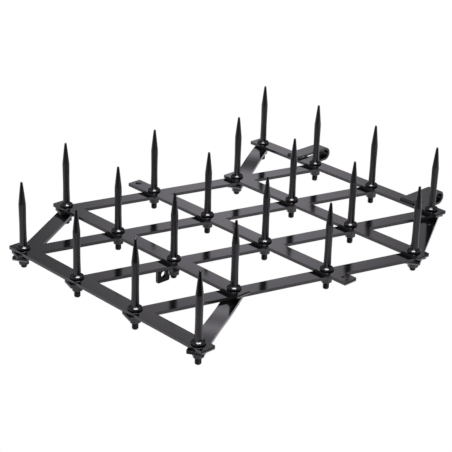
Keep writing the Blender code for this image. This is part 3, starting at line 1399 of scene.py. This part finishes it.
@dataclass
class TowHook:
    """J-shaped tow hook, bent from flat bar and welded on the last row bar.

    Attributes:
        node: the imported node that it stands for.
        row_x: X of the row bar's centre line.
        thickness: thickness of its flat bar.
        width: width of its flat bar.
        height: height over its whole bend.
        edge: radius of its rolled edges.
        corner: radius of its corners, seen from above.
        lap: how far its upper leg runs back past the row bar's centre line.
        return_leg: length of its lower leg.
        bend_steps: segments of its bend.
        side_weld_past: how far the side welds run past the row bar's edge.
        end_weld_radius: radius of the weld across its end.
        end_weld_past: how far that weld runs past the near side and the far side.
    """

    node: str
    row_x: float
    thickness: float = 0.0050
    width: float = 0.032
    height: float = 0.030
    edge: float = 0.0010
    corner: float = 0.0030
    lap: float = 0.010
    return_leg: float = 0.042
    bend_steps: int = 32
    side_weld_past: float = 0.001
    end_weld_radius: float = 0.0048
    end_weld_past: tuple[float, float] = (0.003, 0.002)

    def build(self) -> list[bpy.types.Object]:
        """Build the hook and its three welds.

        Returns:
            The finished pieces.
        """
        low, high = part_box(self.node)
        origin = Vector((self.row_x, (low[1] + high[1]) / 2, high[2]))
        radius = self.height / 2
        centre = (high[0] - self.row_x - radius, -radius)
        path = [(-self.lap, 0.0)]
        path += arc(centre, radius, math.pi / 2, -math.pi / 2, self.bend_steps)
        path.append((centre[0] - self.return_leg, -self.height))
        mesh = Strip(path, self.width, self.thickness, self.edge, self.corner).mesh(self.node)
        place = Matrix.Translation(origin)
        hook = finish_piece(f"{self.node}_shown", mesh, HOOK_ENAMEL, place, self.node)
        return [hook, *(bead.build() for bead in self.beads(origin))]

    def beads(self, origin: Vector) -> Iterable[WeldBead]:
        """The welds along both sides of the upper leg and across its end.

        Args:
            origin: the hook's own origin in the row frame.

        Yields:
            Each bead.
        """
        deck = origin.z - self.thickness
        half = self.width / 2
        back = origin.x - self.lap
        front = origin.x + BAR_WIDTH / 2 + self.side_weld_past
        for side, label in ((half, "far"), (-half, "near")):
            start = Vector((back, origin.y + side, deck))
            end = Vector((front, origin.y + side, deck))
            yield WeldBead(f"{self.node}_weld_{label}", start, end)
        near_past, far_past = self.end_weld_past
        start = Vector((back, origin.y - half - near_past, deck))
        end = Vector((back, origin.y + half + far_past, deck))
        yield WeldBead(f"{self.node}_weld_end", start, end, self.end_weld_radius, SOOTY_ENAMEL)


@dataclass
class AngleBracket:
    """Angle bracket that hangs under one spike, with a hitch hole in its leg.

    Attributes:
        node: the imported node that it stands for.
        spike: lattice node of the spike that holds it.
        lap: how far its upper leg runs back past the spike's axis.
        bend_radius: inner radius of its bend.
        width: width of its flat bar.
        corner: radius of its corners.
        hole_edge: distance from its lower edge to the centre of its hole.
        hole_radius: radius of the hole.
        bend_steps: segments of its bend.
    """

    node: str = "angle_bracket"
    spike: str = "b3"
    lap: float = 0.016
    bend_radius: float = 0.0040
    width: float = 0.030
    corner: float = 0.0030
    hole_edge: float = 0.016
    hole_radius: float = 0.0065
    bend_steps: int = 12

    def build(self) -> bpy.types.Object:
        """Build the bracket.

        Returns:
            The finished piece.
        """
        low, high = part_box(self.node)
        seat = LATTICE.spot(self.spike)
        reach = high[1] - seat.y
        drop = high[2] - low[2]
        seat.z = high[2]
        outer = self.bend_radius + BAR_THICKNESS
        path = [(-self.lap, 0.0)]
        path += arc((reach - outer, -outer), outer, math.pi / 2, 0.0, self.bend_steps)
        path.append((reach, -drop))
        middle = Vector((reach - BAR_THICKNESS / 2, 0.0, self.hole_edge - drop))
        through = Matrix.Translation(middle) @ Matrix.Rotation(math.pi / 2, 4, "Y")
        holes = [Hole(self.hole_radius, through)]
        mesh = Strip(path, self.width, corner=self.corner, holes=holes).mesh(self.node)
        place = Matrix.Translation(seat) @ Matrix.Rotation(math.pi / 2, 4, "Z")
        return finish_piece(f"{self.node}_shown", mesh, SHADED_BRACKET_ENAMEL, place, self.node)


# Studio


@dataclass(frozen=True)
class Camera:
    """The photograph's camera, given by what it aims at.

    Attributes:
        azimuth: heading of its view, clockwise from +Y, in degrees.
        elevation: how far it looks down, in degrees.
        roll: its turn about its own axis, in degrees.
        aim: a point on its axis.
        distance: distance to that point.
        lens: focal length in millimetres.
        film_width: width of the picture on the film in millimetres.
        sight: how far it sees.
    """

    azimuth: float = 44.2758
    elevation: float = 24.1200
    roll: float = 1.8356
    aim: tuple[float, float, float] = (-0.041526, 0.019936, 0.059)
    distance: float = 2.88641
    lens: float = 115.098
    film_width: float = 36.0
    sight: float = 50.0

    def heading(self) -> Vector:
        """Level direction from the camera to the object."""
        turn = math.radians(self.azimuth)
        return Vector((math.sin(turn), math.cos(turn), 0.0))

    def build(self) -> bpy.types.Object:
        """Place the camera and make it the scene's own.

        Returns:
            The camera.
        """
        tilt = math.radians(self.elevation)
        forward = self.heading() * math.cos(tilt) - Vector((0, 0, math.sin(tilt)))
        right = forward.cross(Vector((0, 0, 1))).normalized()
        upward = right.cross(forward)
        axes = Matrix((right, upward, -forward)).transposed().to_4x4()
        data = bpy.data.cameras.new("photo_camera")
        data.lens = self.lens
        data.sensor_width = self.film_width
        data.clip_end = self.sight
        camera = bpy.data.objects.new("photo_camera", data)
        bpy.context.scene.collection.objects.link(camera)
        spot = Vector(self.aim) - forward * self.distance
        rolled = Matrix.Rotation(math.radians(self.roll), 4, "Z")
        camera.matrix_world = Matrix.Translation(spot) @ axes @ rolled
        bpy.context.scene.camera = camera
        return camera


@dataclass(frozen=True)
class Softbox:
    """A square studio light.

    Attributes:
        name: the light's name.
        spot: where it hangs.
        size: length of its sides.
        glow: its brightness, where the white floor is 1.
        lights: the kind of pieces that it lights.
        aim: the point that it faces.
    """

    name: str
    spot: tuple[float, float, float]
    size: float
    glow: float
    lights: Shape
    aim: tuple[float, float, float] = (0.0, 0.0, 0.05)

    def build(self) -> bpy.types.Object:
        """Hang the light.

        Returns:
            The light.
        """
        data = bpy.data.lights.new(self.name, "AREA")
        data.shape = "SQUARE"
        data.size = self.size
        data.energy = self.glow * math.pi * self.size**2
        light = bpy.data.objects.new(self.name, data)
        bpy.context.scene.collection.objects.link(light)
        light.location = self.spot
        light.visible_camera = False
        light.light_linking.receiver_collection = self.lights.group()
        facing = Vector(self.aim) - Vector(self.spot)
        light.rotation_euler = facing.to_track_quat("-Z", "Y").to_euler()
        return light


@dataclass(frozen=True)
class Fade:
    """A smooth change of brightness across the floor, even on either side of it.

    Attributes:
        weights: weights of X and Y in the distance that it is measured by.
        span: that distance where it begins and where it ends.
        levels: brightness before and after it.
    """

    weights: Point2
    span: Span
    levels: Span = (0.0, 1.0)

    def over(self, x: Wire, y: Wire) -> Wire:
        """Brightness that it gives each point of the floor."""
        distance = x * self.weights[0] + y * self.weights[1]
        return distance.ease(*self.span, *self.levels)


@dataclass(frozen=True)
class MirroredSheet:
    """The lit white sheet under the object, as its paint mirrors it, with the frame's shadow
    painted into it.

    Attributes:
        near: where it darkens towards the camera.
        left_edge: its edge beyond the first row, on the camera's left.
        right_edge: its edge beyond the rows' last spikes, on the camera's right.
        right_slant: the stretch where that edge slants outwards, towards the towed row.
        towed_side: how it darkens slightly towards the towed row.
        bay: the sides of the frame's painted shadow inside it.
        bay_depth: how much darker that painted shadow is.
    """

    near: Fade = Fade((1.0, 0.85), (-1.20, -0.80), (0.35, 1.0))
    left_edge: Fade = Fade((1.0, 0.0), (-0.85, -0.62), (0.45, 1.0))
    right_edge: Fade = Fade((0.0, 1.0), (-0.72, -0.56), (0.1, 1.0))
    right_slant: Fade = Fade((0.8, 1.0), (-0.98, -0.88))
    towed_side: Fade = Fade((1.0, -0.5), (-0.1, 0.7), (0.95, 0.85))
    bay: Sequence[Fade] = (
        Fade((1.0, 0.0), (-0.50, -0.42)),
        Fade((1.0, 0.0), (-0.25, 0.0), (1.0, 0.0)),
        Fade((0.0, 1.0), (-0.40, 0.0)),
    )
    bay_depth: float = 0.3

    def glow(self, board: Board) -> Wire:
        """Brightness of the sheet.

        Args:
            board: the floor's node tree.

        Returns:
            The brightness at each point of the floor.
        """
        place = board.add("ShaderNodeTexCoord", output="Object")
        x, y = board.split(place, "X"), board.split(place, "Y")
        right = self.right_edge.over(x, y).at_least(self.right_slant.over(x, y))
        sheet = self.near.over(x, y) * self.left_edge.over(x, y) * right
        # Painted shadow of the frame on the sheet
        first, second, third = (side.over(x, y) for side in self.bay)
        shadowed = 1.0 - first * second * third * self.bay_depth
        return sheet * self.towed_side.over(x, y) * shadowed


@dataclass(frozen=True)
class Studio:
    """White floor, white backdrop and soft light.

    Attributes:
        camera: the photograph's camera.
        sheet: what the paint mirrors of the floor.
        floor_size: side of the floor.
        floor_drop: how far the floor lies under the object.
        light_height: how high both lights hang.
        light_setback: how far they hang towards the camera.
        softbox_size: side of the light on the round pieces.
        softbox_glow: its brightness.
        panel_size: side of the light on the flat pieces.
        panel_glow: its brightness.
        glow_azimuth: heading of the lit middle of the backdrop, in degrees.
        glow_rise: sine of its elevation.
        glow_width: sine of its spread sideways.
        glow_height: sine of its spread upwards.
        glow_peak: its brightness.
        glow_front: cosine from its heading over which it fades in.
        room: brightness of the dark room round it.
        walls: how much brighter the room's other walls are.
        walls_end: cosine from the glow's heading over which they fade out.
        ceiling_start: sine of elevation over which they fade out.
        tint: colour of all that light.
    """

    camera: Camera = Camera()
    sheet: MirroredSheet = MirroredSheet()
    floor_size: float = 40.0
    floor_drop: float = 0.0005
    light_height: float = 2.2
    light_setback: float = 0.45
    softbox_size: float = 1.3
    softbox_glow: float = 26.0
    panel_size: float = 2.8
    panel_glow: float = 1.6
    glow_azimuth: float = 45.0
    glow_rise: float = 0.400
    glow_width: float = 0.084
    glow_height: float = 0.064
    glow_peak: float = 1.25
    glow_front: Span = (0.0, 0.2)
    room: float = 0.12
    walls: float = 0.33
    walls_end: Span = (0.45, 0.80)
    ceiling_start: Span = (0.70, 0.90)
    tint: Color = (1.045, 1.0, 1.09)

    def build(self) -> None:
        """Build the camera, the floor, the surroundings and the lights."""
        self.camera.build()
        self.floor()
        self.surroundings()
        self.lights()
        bpy.context.scene.view_settings.view_transform = "Standard"
        bpy.context.scene.view_settings.look = "None"

    def lights(self) -> None:
        """Hang a bright softbox over the round pieces and a dim panel over the flat ones."""
        towards = self.camera.heading() * -self.light_setback
        spot = (towards.x, towards.y, self.light_height)
        Softbox("overhead_softbox", spot, self.softbox_size, self.softbox_glow, Shape.ROUND).build()
        Softbox("overhead_panel", spot, self.panel_size, self.panel_glow, Shape.FLAT).build()

    def floor(self) -> None:
        """Lay the white floor under the object; it glows plain white to the camera, and as the
        mirrored sheet, with its painted shadow, to all other rays.
        """
        side = self.floor_size / 2
        low = -self.floor_drop
        mesh = bpy.data.meshes.new("floor")
        corners = [(-side, -side, low), (side, -side, low), (side, side, low), (-side, side, low)]
        mesh.from_pydata(corners, [], [(0, 1, 2, 3)])
        floor = bpy.data.objects.new("floor", mesh)
        bpy.context.scene.collection.objects.link(floor)
        material = bpy.data.materials.new("white_floor")
        material.use_nodes = True
        shader = material.node_tree.nodes["Principled BSDF"]
        shader.inputs["Base Color"].default_value = (0.0, 0.0, 0.0, 1.0)
        shader.inputs["Specular IOR Level"].default_value = 0.0
        shader.inputs["Emission Strength"].default_value = 1.0
        board = Board(material.node_tree)
        seen = board.add("ShaderNodeLightPath", output="Is Camera Ray")
        mirrored = board.scaled(self.tint, self.sheet.glow(board))
        lit = board.mix(seen, mirrored, (1.0, 1.0, 1.0))
        material.node_tree.links.new(lit.socket, shader.inputs["Emission Color"])
        mesh.materials.append(material)

    def surroundings(self) -> None:
        """Light the object from a backdrop that glows behind it and from the room's walls."""
        world = bpy.data.worlds.new("studio")
        bpy.context.scene.world = world
        world.use_nodes = True
        board = Board(world.node_tree)
        way = board.add("ShaderNodeTexCoord", output="Generated")
        rise = board.split(way, "Z")
        lateral = self.along(board, way, self.glow_azimuth + 90.0) / self.glow_width
        lift = (rise - self.glow_rise) / self.glow_height
        ahead = self.along(board, way, self.glow_azimuth)
        falloff = (lateral * lateral + lift * lift) * -0.5
        backdrop = falloff.maths("EXPONENT") * ahead.ease(*self.glow_front)
        away = ahead.ease(*self.walls_end, 1.0, 0.0) * rise.ease(*self.ceiling_start, 1.0, 0.0)
        seen = board.add("ShaderNodeLightPath", output="Is Camera Ray")
        glow = backdrop * self.glow_peak + self.room + away * self.walls + seen
        lit = board.scaled(self.tint, glow)
        background = world.node_tree.nodes["Background"]
        world.node_tree.links.new(lit.socket, background.inputs["Color"])

    def along(self, board: Board, way: Wire, azimuth: float) -> Wire:
        """How far a direction points along a level heading.

        Args:
            board: the world's node tree.
            way: the direction.
            azimuth: the heading, clockwise from +Y, in degrees.

        Returns:
            The cosine of the angle between them.
        """
        turn = math.radians(azimuth)
        heading = (math.sin(turn), math.cos(turn), 0.0)
        settings = {"operation": "DOT_PRODUCT"}
        return board.add("ShaderNodeVectorMath", settings, {0: way, 1: heading}, output="Value")


def report(name: str, pieces: Sequence[bpy.types.Object]) -> None:
    """Log one sub-assembly and its pieces."""
    LOG.info("%s: %d pieces (%s)", name, len(pieces), ", ".join(piece.name for piece in pieces))


def main() -> None:
    """Build every sub-assembly in order, then the studio, and log how many nodes and pieces there
    are.
    """
    logging.basicConfig(level=logging.INFO, format="%(name)s: %(message)s")
    LOG.info("packed frame: %d nodes", len(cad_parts))
    report("frame bars", BarFrame().build())
    report("spikes", SpikeForging().build())
    report("nuts", FlangeNut().build())
    row_x = LATTICE.spot("e1").x
    for label in ("1", "2"):
        report(f"tow hook {label}", TowHook(f"tow_hook_{label}", row_x).build())
    report("angle bracket", [AngleBracket().build()])
    Studio().build()


if __name__ == "__main__":
    main()
